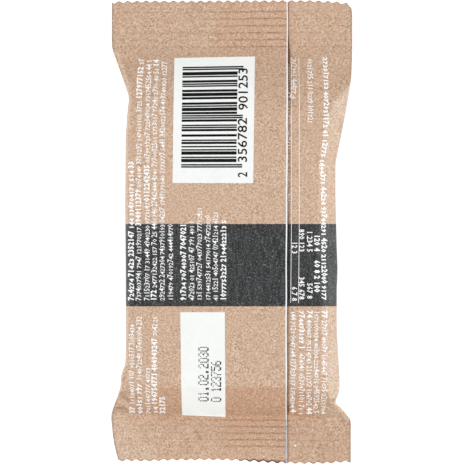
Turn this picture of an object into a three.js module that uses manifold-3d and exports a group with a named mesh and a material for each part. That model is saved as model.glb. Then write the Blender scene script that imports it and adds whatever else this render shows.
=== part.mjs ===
// A snack bar shut in a flow-wrapped film pack, lying on its front with the fin seal up.
// Millimetres. +X runs across the pack, +Y along it and +Z up, out of the table.
// The origin is under the middle of the pack, on the table.
// The film, its three seals and the bar inside make one shut body, so the pack is one solid.
import * as THREE from "three";
import { mergeVertices } from "three/addons/utils/BufferGeometryUtils.js";
import Module from "manifold-3d";

// Pack
const packLength = 126.4; // over the tips of the cut teeth
const barHeight = 12; // the bar and its film, from the table up
const packHalf = packLength / 2;

// Side outlines, as distances from the middle line. Each side is narrow at the waist, where the
// film is tight round the bar, and flares out to the flat seals. The flare starts and ends at
// these places along the pack, a pinch draws the film in beside one end of it, and the cut
// corner of one seal is drawn in too, over this reach from the cut.
const leftSide = {
  waist: 29.3,
  top: { flare: 3.8, from: 36.2, to: 51.2 },
  bottom: { flare: 3.8, from: 35.4, to: 48.4 },
  pinch: { at: 36.6, depth: 0.8, reach: 5 },
  corner: { end: -1, draw: 1.8, reach: 9 },
};
const rightSide = {
  waist: 28.6,
  top: { flare: 4.5, from: 18, to: 51 },
  bottom: { flare: 3.9, from: 45.6, to: 50.8 },
  pinch: { at: -45.8, depth: 0.5, reach: 3 },
  corner: { end: 1, draw: 1.7, reach: 3 },
};

// Crimped end seals
const sealLength = 12.5; // from the last tooth to the slope
const sealHeight = 5.2; // middle of the seal above the table
const sealThickness = 0.9;
const crimpPitch = 2;
const crimpRise = 0.3; // each ridge above and below the middle of the seal
const sealRoot = packHalf - sealLength;

// Scalloped knife cut
const toothPitch = 2.5;
const toothDepth = 0.55;
const cutSteps = 4; // straight pieces in one tooth
const cutOverrun = 1; // film past the knife, before the cut

// The bar's flat top and the slopes down to the seals
const slopeLength = 9.4;
const slopeFullness = 1.5; // over 1, the slope is full near the bar and steep near the seal
const sideRound = 4.8; // how far in from the side the bar's face turns down
const slopeRound = 10; // the same, half way down the slope
const sealRound = 0.4; // the same, in the seals

// The fin seal: a flap folded over to +X, from its fold to its free edge, the whole length
const finFold = -2.8;
const finEdge = 15;
const finRise = 0.35;
const finBlend = 3; // the fold fades into the film over this width
const finStep = 0.06; // width of the wall at the free edge

// Dents in the slopes, where the film tucks in beside the corners of the bar
const tucks = [
  { x: 19.5, y: 44.5, depth: 1.5, reachX: 7, reachY: 5 },
  { x: -25.5, y: 46.5, depth: 0.9, reachX: 5, reachY: 4 },
  { x: -26.5, y: -45.5, depth: 0.8, reachX: 5, reachY: 4 },
  { x: 27, y: -46.5, depth: 0.9, reachX: 5, reachY: 4 },
];

// Mesh of the pack: stations along it and columns across it
const slopeStations = 6;
const barStations = 15;
const sideColumns = 6;
const leftColumns = 4;
const finColumns = 5;
const rightColumns = 3;

const kraft = { color: 0xccae96, roughness: 0.62, metalness: 0 };

const clamp01 = (value) => Math.min(Math.max(value, 0), 1);
const ramp = (value, from, to) => clamp01((value - from) / (to - from));
const smooth = (t) => t * t * (3 - 2 * t);
const bell = (distance, reach) => Math.exp(-((distance / reach) ** 2));

// Distance of one side's edge from the middle line, at a place along the pack.
function sideReach(side, y) {
  const top = side.top.flare * smooth(ramp(y, side.top.from, side.top.to));
  const bottom = side.bottom.flare * smooth(ramp(-y, side.bottom.from, side.bottom.to));
  const pinch = side.pinch.depth * bell(y - side.pinch.at, side.pinch.reach);
  const { end, draw, reach } = side.corner;
  const corner = draw * ramp(end * y, packHalf - reach, packHalf) ** 2;
  return side.waist + top + bottom - pinch - corner;
}

// How full the pack is at a place along it: 1 over the bar, 0 in the seals.
function fullness(y) {
  const down = clamp01((sealRoot - Math.abs(y)) / slopeLength);
  return 1 - (1 - down) ** slopeFullness;
}

// Height of the seal's own wave, in step with the crimping ridges.
function crimp(y) {
  const along = Math.abs(y) - sealRoot;
  if (along <= 0) return 0;
  const ridge = 1 - 4 * Math.abs(((along / crimpPitch + 0.25) % 1) - 0.5);
  return crimpRise * ridge;
}

// The fin's extra height: it rises from the fold and stops at the free edge.
function finLift(x) {
  if (x > finEdge) return 0;
  return finRise * smooth(ramp(x, finFold - finBlend, finFold));
}

function tuckDepth(x, y) {
  return tucks.reduce(
    (sum, tuck) => sum + tuck.depth * bell(x - tuck.x, tuck.reachX) * bell(y - tuck.y, tuck.reachY),
    0,
  );
}

// Upper and lower skin at one point of the pack's plan.
function skinAt(x, y) {
  const inFromSide = Math.min(x + sideReach(leftSide, y), sideReach(rightSide, y) - x);
  const full = fullness(y);
  const straight = sealRound + (sideRound - sealRound) * full;
  const round = straight + (slopeRound - straight) * 4 * full * (1 - full);
  const turn = 1 - ramp(inFromSide, 0, round);
  const section = Math.sqrt(Math.max(1 - turn * turn, 0));
  const half = sealThickness / 2;
  const above = half + (barHeight - sealHeight - half) * full;
  const below = half + (sealHeight - half) * full;
  const middle = sealHeight + crimp(y);
  const dent = tuckDepth(x, y) * Math.min(full * 3, 1);
  return {
    edge: middle,
    top: middle + section * (above + finLift(x) - dent),
    bottom: middle - section * below,
  };
}

// Places along the pack where the mesh has a ring, from the lower end to the upper one.
function stationPlaces() {
  const half = [];
  half.push(packHalf + cutOverrun);
  for (let ridge = Math.floor(sealLength); ridge > 0; ridge -= crimpPitch / 2) {
    half.push(sealRoot + ridge - crimpPitch / 4);
  }
  for (let i = 0; i < slopeStations; i += 1) {
    half.push(sealRoot - slopeLength * (i / slopeStations) ** 1.3);
  }
  const flat = sealRoot - slopeLength;
  const bar = [];
  for (let i = 0; i <= barStations; i += 1) {
    bar.push(-flat + (2 * flat * i) / barStations);
  }
  return [...half.map((y) => -y), ...bar, ...half.reverse()];
}

// Places across the pack at one station, edge to edge. The side columns stand closer together
// towards the edge, and two columns stand at the fin's free edge.
function columnPlaces(y) {
  const left = -sideReach(leftSide, y);
  const right = sideReach(rightSide, y);
  const places = [];
  const spread = (from, to, count) => {
    for (let i = 0; i < count; i += 1) places.push(from + ((to - from) * i) / count);
  };
  const inward = (i) => sideRound * (1 - Math.cos((Math.PI / 2) * (i / sideColumns)));
  for (let i = 0; i < sideColumns; i += 1) places.push(left + inward(i));
  spread(left + sideRound, finFold - finBlend, leftColumns);
  spread(finFold - finBlend, finEdge, finColumns);
  places.push(finEdge);
  spread(finEdge + finStep, right - sideRound, rightColumns);
  for (let i = sideColumns; i >= 0; i -= 1) places.push(right - inward(i));
  return places;
}

// One ring of the pack: along the top from left to right, then back along the underside.
function ringPoints(y) {
  const places = columnPlaces(y);
  const last = places.length - 1;
  const top = [];
  const bottom = [];
  places.forEach((x, i) => {
    const skin = skinAt(x, y);
    const atEdge = i === 0 || i === last;
    top.push([x, y, atEdge ? skin.edge : skin.top]);
    if (!atEdge) bottom.push([x, y, skin.bottom]);
  });
  return [...top, ...bottom.reverse()];
}

// The uncut pack: rings joined into a closed skin, with a fan across each end.
function packBlank() {
  const rings = stationPlaces().map(ringPoints);
  const count = rings[0].length;
  const points = rings.flat();
  const faces = [];
  for (let r = 0; r + 1 < rings.length; r += 1) {
    for (let i = 0; i < count; i += 1) {
      const next = (i + 1) % count;
      const a = r * count + i;
      const b = r * count + next;
      const c = (r + 1) * count + next;
      const d = (r + 1) * count + i;
      faces.push(a, b, c, a, c, d);
    }
  }
  const lastRing = (rings.length - 1) * count;
  const acrossTop = columnPlaces(0).length;
  for (let i = 0; i + 1 < acrossTop; i += 1) {
    const below = (count - i) % count;
    const belowNext = i + 2 === acrossTop ? i + 1 : count - i - 1;
    const ends = [[i, i + 1, belowNext], [i, belowNext, below]];
    for (const [a, b, c] of ends) {
      if (new Set([a, b, c]).size < 3) continue;
      faces.push(a, c, b);
      faces.push(lastRing + a, lastRing + b, lastRing + c);
    }
  }
  const geometry = new THREE.BufferGeometry();
  geometry.setAttribute("position", new THREE.Float32BufferAttribute(points.flat(), 3));
  geometry.setIndex(faces);
  return geometry;
}

// A slab with a scalloped edge, which takes off all the film past the knife at one end.
function knifeBlank(end) {
  const reach = leftSide.waist + leftSide.top.flare + cutOverrun;
  const step = toothPitch / cutSteps;
  const steps = Math.ceil((2 * reach) / step);
  const outline = new THREE.Shape();
  for (let i = 0; i <= steps; i += 1) {
    const x = -reach + i * step;
    const valley = 0.5 - 0.5 * Math.cos((2 * Math.PI * x) / toothPitch);
    const y = end * (packHalf - toothDepth * valley);
    if (i === 0) outline.moveTo(x, y);
    else outline.lineTo(x, y);
  }
  const outside = end * (packHalf + 2 * cutOverrun);
  outline.lineTo(-reach + steps * step, outside);
  outline.lineTo(-reach, outside);
  const geometry = new THREE.ExtrudeGeometry(outline, { depth: barHeight, bevelEnabled: false });
  return geometry;
}

const wasm = await Module();
wasm.setup();

function toSolid(geometry) {
  geometry.deleteAttribute("normal");
  geometry.deleteAttribute("uv");
  const merged = mergeVertices(geometry, 1e-4);
  const mesh = new wasm.Mesh({
    numProp: 3,
    vertProperties: new Float32Array(merged.attributes.position.array),
    triVerts: new Uint32Array(merged.index.array),
  });
  return new wasm.Manifold(mesh);
}

function toGeometry(solid) {
  const mesh = solid.getMesh();
  const geometry = new THREE.BufferGeometry();
  geometry.setAttribute("position", new THREE.BufferAttribute(mesh.vertProperties, 3));
  geometry.setIndex(new THREE.BufferAttribute(mesh.triVerts, 1));
  return geometry;
}

function wrappedBar() {
  const cut = [-1, 1].reduce(
    (solid, end) => solid.subtract(toSolid(knifeBlank(end))),
    toSolid(packBlank()),
  );
  const geometry = toGeometry(cut);
  geometry.computeVertexNormals();
  const mesh = new THREE.Mesh(geometry, new THREE.MeshStandardMaterial(kraft));
  mesh.name = "wrapped_bar";
  return mesh;
}

const pack = new THREE.Group();
pack.add(wrappedBar());

export default pack;
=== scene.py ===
import math
import random

import bpy
import numpy as np
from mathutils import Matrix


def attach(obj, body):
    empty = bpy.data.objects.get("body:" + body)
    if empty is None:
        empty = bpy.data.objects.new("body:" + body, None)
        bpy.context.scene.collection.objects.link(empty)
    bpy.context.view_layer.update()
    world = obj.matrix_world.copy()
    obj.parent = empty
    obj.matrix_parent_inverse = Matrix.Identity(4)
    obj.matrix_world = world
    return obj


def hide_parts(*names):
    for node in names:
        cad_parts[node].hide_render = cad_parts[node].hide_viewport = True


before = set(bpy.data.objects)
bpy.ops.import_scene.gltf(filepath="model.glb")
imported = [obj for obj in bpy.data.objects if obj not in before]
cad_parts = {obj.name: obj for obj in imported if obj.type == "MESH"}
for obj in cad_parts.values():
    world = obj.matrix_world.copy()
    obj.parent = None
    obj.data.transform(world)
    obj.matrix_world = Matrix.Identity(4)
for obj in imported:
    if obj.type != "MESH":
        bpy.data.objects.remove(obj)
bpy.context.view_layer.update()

mm = 0.001
random.seed(55)
print("frame loaded")


def deselectAll():
    if bpy.context.object and bpy.context.object.mode != "OBJECT":
        bpy.ops.object.mode_set(mode="OBJECT")
    bpy.ops.object.select_all(action="DESELECT")


# Adds an object with one operator
def addObject(operator, **settings):
    deselectAll()
    operator(**settings)
    return bpy.context.object


def makeActive(piece):
    deselectAll()
    piece.select_set(True)
    bpy.context.view_layer.objects.active = piece


# Runs one operator on all of a mesh
def editAll(piece, operator, **settings):
    makeActive(piece)
    bpy.ops.object.mode_set(mode="EDIT")
    bpy.ops.mesh.select_all(action="SELECT")
    operator(**settings)
    bpy.ops.object.mode_set(mode="OBJECT")


def applyModifier(piece, kind, **settings):
    makeActive(piece)
    bpy.ops.object.modifier_add(type=kind)
    modifier = piece.modifiers[-1]
    for key, value in settings.items():
        setattr(modifier, key, value)
    bpy.ops.object.modifier_apply(modifier=modifier.name)


def joinPieces(pieces, name):
    makeActive(pieces[0])
    for piece in pieces[1:]:
        piece.select_set(True)
    bpy.ops.object.join()
    joined = bpy.context.object
    joined.name = name
    joined.data.name = name
    return joined


def readPoints(piece):
    flat = np.zeros(len(piece.data.vertices) * 3)
    piece.data.vertices.foreach_get("co", flat)
    return flat.reshape(-1, 3)


def movePoints(piece, points):
    piece.data.vertices.foreach_set("co", points.ravel())
    piece.data.update()


def ramp(value, start, end):
    return np.clip((value - start) / (end - start), 0, 1)


def smooth(t):
    return t * t * (3 - 2 * t)


def mix(a, b, share):
    return a + (b - a) * share


def bell(distance, reach):
    return np.exp(-((distance / reach) ** 2))


# 1 inside a zone and 0 outside it. The zone is four places, where it starts, is full, is still
# full and ends, or two numbers, the middle and the reach of a bell
def zone(value, places):
    if len(places) == 2:
        return bell(value - places[0], places[1])
    start, full, stillFull, end = places
    return ramp(value, start, full) * ramp(value, end, stillFull)


def softMin(a, b, blend):
    share = np.clip(0.5 + 0.5 * (b - a) / blend, 0, 1)
    return b * (1 - share) + a * share - blend * share * (1 - share)


# The pack's shape, in millimetres: +X is right and +Y up in the photograph
pack = {
    "halfLength": 63.2,
    "barTop": 12.0,       # back of the bar, off the table
    "sealZ": 5.2,         # middle of the end seals
    "sealRoot": 50.7,     # where the seals begin, from the middle
    "topFlat": 33.0,      # end of the bar's flat back, towards the top seal
    "topBow": 1.6,        # the top slope bows out: 1 is straight
    "bottomFlat": 42.2,   # and towards the bottom seal
    "bottomBow": 1.0,
    "rightFlat": 3.4,     # the flat back reaches this much further at its lower right corner,
    "rightFlatFrom": (22, 26),    # between these places across the pack
    "slopeBend": 0.12,    # softness of the bend at the bar's ends
    "topRootBend": 0.6,   # and where the slopes meet the seals
    "bottomRootBend": 0.06,
    "cornerBend": 0.05,   # softness between the slopes and the sides
    "sealRound": 0.25,    # how far in from the side a seal turns down
    "wallWidth": 1.1,     # the sides round off over this width
    "leftBevel": 0.32,    # steepness of the bevel along each side
    "rightBevel": 0.4,
    "bevelBend": 0.02,
    "ridgeWidth": 1.2,    # the bevels start softly over this width
    "layer": 0.07,        # one film, drawn a little thick
    "outlineRound": 0.8,  # rounds the corners of the outlines below,
    "outlineSteps": 5,    # as the mean of this many places
    "dentsFrom": 0.25,    # dents fade out below this share of the height
}
everywhere = (-80, -79, 79, 80)       # a zone that holds the whole pack

# The sides, as distances from the middle line at places along the pack
leftSide = [
    (-63.2, 31.3), (-60, 32.15), (-57.3, 32.7), (-51.5, 33.3), (-48.3, 32.7), (-45.0, 31.45),
    (-42.6, 30.7), (-39.8, 30.6), (-38.3, 30.2), (-36.6, 29.4), (-31, 29.25), (-12, 29.25),
    (8, 29.45), (26, 29.3), (33, 28.8), (36.8, 28.35), (37.4, 28.5), (50.2, 33.0), (53, 33.15),
    (63.2, 33.1),
]
rightSide = [
    (-63.2, 32.6), (-51.8, 32.6), (-50.6, 32.3), (-46.8, 28.1), (-45.8, 28.7), (-43.8, 29.5), (-40, 29.5),
    (-27, 28.75), (-16, 28.7), (-10.5, 28.95), (-4, 28.7), (10, 28.4), (19, 28.4), (28, 30.3), (36, 31.75),
    (42.0, 32.75), (50, 33.0), (60.3, 33.0), (62.0, 32.6), (63.5, 31.3),
]

# Where the bar's flat back ends and the bevels along its sides begin
leftRidge = [
    (-56, 26.5), (-50, 33.0), (-43.5, 28.0), (-38, 26.9), (0, 26.9), (30, 27.0), (36.5, 26.9), (43, 29.3),
    (50, 32.2), (56, 26.5),
]
rightRidge = [
    (-56, 24.5), (-50, 32.4), (-47.5, 29.2), (-45.5, 26.4), (-42, 25.3), (-34, 24.4), (0, 23.1), (10, 23.0),
    (19, 23.5), (28, 24.6), (32, 25.4), (36.3, 27.2), (42.5, 32.8), (50, 32.8), (56, 24.5),
]

# The bottom seal's left corner is bent up, along a line between these places
bentCorner = {
    "ends": (-32.8, -47.7, -18.5, -63.4), "steepness": 0.2, "bend": 1.2,
    "along": (-42, -52),      # and fades in between these places
}

# The scalloped cuts: a tooth's place, and how far each cut wanders out along the seal
knife = {
    "pitch": 2.5,
    "drawn": 1.6,         # the film's last rows are drawn in to the cut over this length
    "top": {"depth": 0.58, "tooth": 1.3, "wander": [
        (-33, 0.1), (-29, 0.29), (-24, 0.38), (-10, 0.35), (4, 0.41), (12, 0.44), (22, 0.48),
        (25, 0.32), (28, 0.22), (31, -0.16), (33, -0.46),
    ]},
    "bottom": {"depth": 0.56, "tooth": -0.2, "wander": [
        (-33, -0.1), (-28, -0.12), (-23, 0.06), (-18, -0.17), (-8, -0.3), (-1, -0.27), (4, 0.03),
        (8, 0.26), (13, 0.55), (20, 0.73), (26, 0.71), (31, 0.33),
    ]},
}

# Crimping grooves, counted from each seal's root
crimp = {
    "top": {"pitch": 1.93, "first": 0.1, "count": 6},
    "bottom": {"pitch": 1.8, "first": 1.1, "count": 5},
    "depth": 0.03,        # in two layers of film
    "finDepth": 0.12,     # in the four layers beside the fin's edge
    "width": 0.19,
    "fade": (18, 33, 0.5),    # from here to here across the pack they lose this share of their depth
    "tilt": -0.014,       # the bottom grooves run a little off square
}

# The fin seal: a flap of film that is folded over to the right
fin = {
    "fold": -2.8,         # where the flap turns over
    "edge": 14.72,        # its free edge
    "blend": 4.0,         # the flap rises over this width
    "gap": 0.35,          # air under the free edge, on the bar
    "sealGap": 0.02,
    "curl": 1.5,          # over 1, the gap opens mostly near the edge
    "thickness": 0.154,   # two layers and the air between them
    "lip": 0.42,          # the lower film shows its white inside
    "bedded": 0.03,       # the root of the flap lies in the film this deep
    "layers": (-5.3, -2.3, 14.72, 16.22),     # the seals are four layers thick here
    "dip": 0.3,           # the body film sinks beside the free edge, and by less on the bar,
    "dipOnBar": 0.3,
    "dipZone": (15.52, 1.6),
    "crevice": 0.8,       # and deeper close to it, where the film is slack
    "creviceZone": (15.17, 0.45),
    "slackTop": (32, 46, 54, 60),     # the film is slack here along the pack,
    "slackBottom": (-50, 2.5),
    "tightBar": (-52, -50, 50, 52),   # and nearly tight here
    "slackOnBar": 0.12,
    # along the pack, how much of the lip shows, how far the edge wanders to the right, and how
    # dark the shadow beside it is
    "lipShown": [
        (-63, 0.85), (-53, 0.85), (-48, 0.6), (-38, 0.95), (-9, 0.85), (20, 0.95), (44, 0.95), (50, 0.7),
        (63, 0.7),
    ],
    "wander": [
        (-63, 0.05), (-52, -0.05), (-34, -0.26), (-9, -0.19), (22, -0.03), (42, 0.06), (50, 0.21),
        (63, 0.21),
    ],
    "shadow": [
        (-63, 0.45), (-52, 0.5), (-42, 0.7), (-21, 0.65), (-9, 1.1), (2, 1.1), (5, 0.6), (12, 0.45),
        (17, 0.25), (30, 0.25), (34, 0.55), (45, 0.35), (50, 0.3), (55, 0.5), (63, 0.5),
    ],
    "shadowZone": (15.28, 0.24),
    "waver": {"height": 0.03, "length": 2.9, "start": 1},     # and how its edge wavers
}

# Dents of the film beside the bar's corners and the fin: place, depth and reach along x and y
tucks = [
    (17.8, 45.0, 0.7, 3.0, 7),
    (-29.0, 45.8, 0.9, 2.4, 3.0),
    (29.0, 42.5, 0.7, 3.5, 3.0),
    (-29.0, -45.5, 0.8, 2.6, 2.6),
    (27.5, -47.0, 0.8, 3.2, 2.0),
]

# Sharp creases: from one end to the other, depth, width, and how much painted shade lies along them.
# A ridge has a negative depth, and a negative shade is a painted highlight instead
creases = [
    ((33.0, 43.0, 27.6, 37.2), 0.2, 0.5, 0.15),
    ((27.6, 37.2, 24.8, 28.0), 0.15, 0.5, 0.1),
    ((28.6, -47.5, 32.0, -51.0), -0.3, 0.36, -1.1),
    ((27.2, -46.7, 28.3, -47.2), -0.3, 0.4, -0.9),
    ((29.1, -44.8, 27.6, -46.3), 0.25, 0.28, 0.7),
    ((25.8, -46.9, 31.0, -51.6), 0.25, 0.4, 0.2),
    ((26.3, -52.6, 28.2, -54.4), -0.12, 0.4, -0.15),
    ((28.6, -52.2, 30.8, -53.9), -0.12, 0.4, -0.15),
    ((30.6, -56.8, 27.2, -57.8), -0.12, 0.4, -0.1),
    ((-31.3, -44.2, -28.6, -46.2), 0.4, 0.4, 0.4),
    ((-28.6, -46.2, -27.4, -46.0), 0.3, 0.5, 0.3),
    ((-32.2, -47.3, -31.2, -47.1), 0.3, 0.25, 0.7),
    ((-32.0, -48.4, -30.2, -48.5), 0.4, 0.28, 0.8),
    ((-30.4, -48.6, -29.0, -49.6), 0.3, 0.4, 0.4),
    ((-32.3, -46.8, -31.0, -45.2), -0.3, 0.4, -0.3),
    ((-31.8, -47.8, -30.8, -46.6), -0.4, 0.3, -0.7),
    ((-31.2, -42.6, -30.6, -40.0), -0.2, 0.4, -0.25),
    ((-29.9, -42.0, -29.2, -39.4), 0.25, 0.35, 0.35),
    ((-10.1, -54.7, -8.5, -57.2), 0.1, 0.4, 0.4),
    ((-12.8, -60.2, -11.1, -59.2), 0.1, 0.4, 0.3),
    ((-9.3, -53.8, -8.2, -54.1), -0.08, 0.45, -0.2),
    ((-12.3, -55.6, -11.2, -56.0), -0.08, 0.45, -0.15),
    ((-16.6, 56.5, -14.9, 57.0), -0.06, 0.4, -0.2),
    ((-14.2, 54.0, -13.4, 54.4), 0.08, 0.6, 0.25),
    ((10.2, 57.0, 11.0, 57.4), -0.06, 0.45, -0.25),
    ((-17.6, 50.8, -17.0, 51.2), -0.06, 0.45, -0.2),
    ((-16.2, 60.2, -15.6, 60.6), -0.06, 0.45, -0.2),
]
creaseRound = 0.3       # softens each crease's line
# A ring that something pressed into the top seal: its middle and radius
pressedRing = {"x": -4.8, "y": 53.7, "radius": 1.35, "width": 0.4, "depth": 0.06, "shade": 0.3}

# Slow unevenness of the film: waves of these lengths, in any direction
cockle = {"waves": 26, "shortest": 4.0, "longest": 22.0, "height": 0.035}
cockleWaves = []
for i in range(cockle["waves"]):
    length = cockle["shortest"] * (cockle["longest"] / cockle["shortest"]) ** random.random()
    turn = random.uniform(0, math.pi)
    cockleWaves.append((math.cos(turn) / length, math.sin(turn) / length, random.random(), length))


def sideReach(side, y):
    places, reaches = zip(*side)
    steps = np.linspace(-pack["outlineRound"], pack["outlineRound"], pack["outlineSteps"])
    return sum(np.interp(y + step, places, reaches) for step in steps) / len(steps)


# Where the knife cut the film
def cutLine(x, end):
    cut = knife["top" if end > 0 else "bottom"]
    valley = 0.5 - 0.5 * np.cos(2 * math.pi * (x - cut["tooth"]) / knife["pitch"])
    return end * (pack["halfLength"] + np.interp(x, *zip(*cut["wander"])) - cut["depth"] * valley)


# 1 over the bar and 0 in the seals
def fullness(y, x=0.0):
    bottomFlat = pack["bottomFlat"] + pack["rightFlat"] * ramp(x, *pack["rightFlatFrom"])
    flat = np.where(y > 0, pack["topFlat"], bottomFlat)
    bow = np.where(y > 0, pack["topBow"], pack["bottomBow"])
    down = (pack["sealRoot"] - np.abs(y)) / (pack["sealRoot"] - flat)
    bowed = 1 - np.clip(1 - down, 0, None) ** bow
    down = np.where(bow > 1, bowed, softMin(down, 1, pack["slopeBend"]))
    return -softMin(-down, 0, np.where(y > 0, pack["topRootBend"], pack["bottomRootBend"]))


def groovePlaces(end):
    lines = crimp["top" if end > 0 else "bottom"]
    first = pack["sealRoot"] + lines["first"]
    return [end * (first + lines["pitch"] * i) for i in range(lines["count"])]


# 1 at the bottom of a groove and 0 beside it
def grooves(y):
    total = np.zeros_like(y)
    for end in (-1, 1):
        for place in groovePlaces(end):
            total += bell(y - place, crimp["width"])
    return total


def grooveDepth(x, y):
    depth = mix(crimp["depth"], crimp["finDepth"], zone(x, fin["layers"]))
    fadeFrom, fadeTo, fade = crimp["fade"]
    return depth * grooves(y) * (1 - fade * ramp(np.abs(x), fadeFrom, fadeTo))


def fromCrease(ends, x, y):
    x0, y0, x1, y1 = ends
    lengthSquared = (x1 - x0) ** 2 + (y1 - y0) ** 2
    along = np.clip(((x - x0) * (x1 - x0) + (y - y0) * (y1 - y0)) / lengthSquared, 0, 1)
    return np.hypot(x - x0 - along * (x1 - x0), y - y0 - along * (y1 - y0))


def onRing(x, y):
    fromMiddle = np.hypot(x - pressedRing["x"], y - pressedRing["y"])
    return bell(fromMiddle - pressedRing["radius"], pressedRing["width"])


def creaseDrop(x, y):
    total = pressedRing["depth"] * onRing(x, y)
    for ends, depth, width, shade in creases:
        total += depth * np.exp(-np.hypot(fromCrease(ends, x, y), creaseRound) / width)
    return total


def unevenness(x, y):
    total = np.zeros_like(x)
    for acrossX, acrossY, start, length in cockleWaves:
        share = math.sqrt(length / cockle["longest"])
        total += share * np.sin(2 * math.pi * (x * acrossX + y * acrossY + start))
    return cockle["height"] * total


# 0 at the pack's sides and 1 on the bar's flat back, with a bevel between
def sideRise(x, y):
    rises = []
    left = (leftSide, leftRidge, -1, pack["leftBevel"])
    right = (rightSide, rightRidge, 1, pack["rightBevel"])
    for side, ridge, sign, steepness in (left, right):
        inward = sideReach(side, y) - sign * x
        past = -softMin(sideReach(ridge, y) - sign * x, 0, pack["ridgeWidth"])
        wall = np.sqrt(1 - (1 - ramp(inward, 0, pack["wallWidth"])) ** 2)
        bevel = 1 - steepness * past / (pack["barTop"] - pack["sealZ"])
        rises.append(softMin(wall, bevel, pack["bevelBend"]))
    return np.minimum(*rises)


def pastBend(x, y):
    x0, y0, x1, y1 = bentCorner["ends"]
    return ((x - x0) * (y1 - y0) - (y - y0) * (x1 - x0)) / math.hypot(x1 - x0, y1 - y0)


def cornerLift(x, y):
    bend = bentCorner["bend"]
    lift = bentCorner["steepness"] * bend * np.logaddexp(0, pastBend(x, y) / bend)
    return lift * ramp(y, *bentCorner["along"])


def finPath(name, y):
    return np.interp(y, *zip(*fin[name]))


# How far the film is drawn down beside the fin: most on the slopes, and hardly on the bar
def slackAt(y):
    slack = np.maximum(zone(y, fin["slackTop"]), zone(y, fin["slackBottom"]))
    return mix(slack, zone(y, fin["tightBar"]), fin["slackOnBar"])


# The seals are a little wavy
sealWave = {"height": 0.25, "length": 9, "start": 1, "zone": (50, 63), "fullness": 0.5}


# Heights of the film's back and of its front
def skin(x, y):
    full = fullness(y, x)
    level = softMin(full, sideRise(x, y), pack["cornerBend"]) / (1 - pack["cornerBend"] / 4)
    inward = np.minimum(x + sideReach(leftSide, y), sideReach(rightSide, y) - x)
    edge = np.sqrt(1 - (1 - ramp(inward, 0, pack["sealRound"])) ** 2)
    dip = fin["dip"] * mix(fin["dipOnBar"], 1, slackAt(y))
    dent = creaseDrop(x, y) + zone(x, fin["dipZone"]) * dip
    for tuckX, tuckY, depth, reachX, reachY in tucks:
        dent += depth * bell(x - tuckX, reachX) * bell(y - tuckY, reachY)
    dent += fin["crevice"] * zone(x, fin["creviceZone"]) * slackAt(y)
    dent = (dent - unevenness(x, y)) * ramp(level, 0, pack["dentsFrom"])
    wave = sealWave["height"] * np.sin(x / sealWave["length"] + sealWave["start"])
    wave *= ramp(full, sealWave["fullness"], 0) * ramp(np.abs(y), *sealWave["zone"])
    middle = pack["sealZ"] - grooveDepth(x, y) + wave + cornerLift(x, y)
    back = middle + pack["layer"] * edge + (pack["barTop"] - pack["sealZ"] - pack["layer"]) * level - dent
    front = middle - pack["layer"] * edge - (pack["sealZ"] - pack["layer"]) * level
    return back, front


# How far the fin's flap stands off the film under it
def flapLift(x, y):
    gap = mix(fin["sealGap"], fin["gap"], np.clip(fullness(y), 0, 1))
    rise = smooth(ramp(x, fin["fold"] - fin["blend"], fin["fold"]))
    out = ramp(x, fin["fold"], fin["edge"])
    return rise * (fin["thickness"] + fin["bedded"] + gap * out ** fin["curl"]) - fin["bedded"]


# Draws the last rows of film in to the knife's cut
def toKnife(x, y):
    start = pack["halfLength"] - knife["drawn"]
    past = np.clip(np.abs(y) - start, 0, None) / knife["drawn"]
    cut = np.where(y > 0, np.abs(cutLine(x, 1)), np.abs(cutLine(x, -1)))
    return np.where(past > 0, np.sign(y) * (start + past * (cut - start)), y)


def spread(stops, counts):
    places = [stops[0]]
    for start, stop, count in zip(stops, stops[1:], counts):
        places += list(np.linspace(start, stop, count + 1)[1:])
    return np.array(places)


rowCounts = {"seal": 38, "slope": 32, "bar": 70, "groove": 7}
rowPlan = {
    "inward": 1.2,            # the bar's rows begin this far in from its ends
    "grooveReach": 1.6,       # rows reach this many widths to each side of a groove
    "nearCut": (0.1, 0.2, 0.35),
    "closest": 0.05,
}


# Places of the mesh's rows along the pack: evenly apart, and closer across each groove
def rowPlaces():
    end, root = pack["halfLength"], pack["sealRoot"]
    low, high = rowPlan["inward"] - pack["bottomFlat"], pack["topFlat"] - rowPlan["inward"]
    stops = [-end, -root, low, high, root, end]
    places = list(spread(stops, [rowCounts[k] for k in ("seal", "slope", "bar", "slope", "seal")]))
    reach = rowPlan["grooveReach"]
    for sealEnd in (-1, 1):
        for place in groovePlaces(sealEnd):
            places += list(place + np.linspace(-reach, reach, rowCounts["groove"]) * crimp["width"])
        places += [sealEnd * (end - step) for step in rowPlan["nearCut"]]
    places.sort()
    kept = [places[0]]
    for place in places[1:]:
        if place - kept[-1] > rowPlan["closest"]:
            kept.append(place)
    kept[-1] = end
    return np.array(kept)


rows = rowPlaces()


sheetDrop = 0.1       # between the two grids, before they are shaped


# A closed sheet with these rows and this many columns: a grid, and a second one under it
def thinSheet(name, columnCount):
    counts = {"x_subdivisions": columnCount - 1, "y_subdivisions": len(rows) - 1}
    sheet = addObject(bpy.ops.mesh.primitive_grid_add, size=1, **counts)
    sheet.name = name
    sheet.data.name = name
    drop = {"value": (0, 0, -sheetDrop)}
    editAll(sheet, bpy.ops.mesh.extrude_region_move, TRANSFORM_OT_translate=drop)
    editAll(sheet, bpy.ops.mesh.normals_make_consistent, inside=False)
    flat = readPoints(sheet)
    column = np.rint((flat[:, 0] + 0.5) * (columnCount - 1)).astype(int)
    row = np.rint((flat[:, 1] + 0.5) * (len(rows) - 1)).astype(int)
    return sheet, column, row, flat[:, 2] > -sheetDrop / 2


# Where the parts of a sheet lie in its map
sheetMap = {
    "back": 0.01, "front": 0.51, "width": 0.48,     # start and width across the map
    "low": 0.03, "tall": 0.94,
    "lowEnd": (0.027, 0.015), "highEnd": (0.973, 0.985),        # walls, from the back to the front
    "leftWall": (0.493, 0.497), "rightWall": (0.503, 0.507),
}


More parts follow.
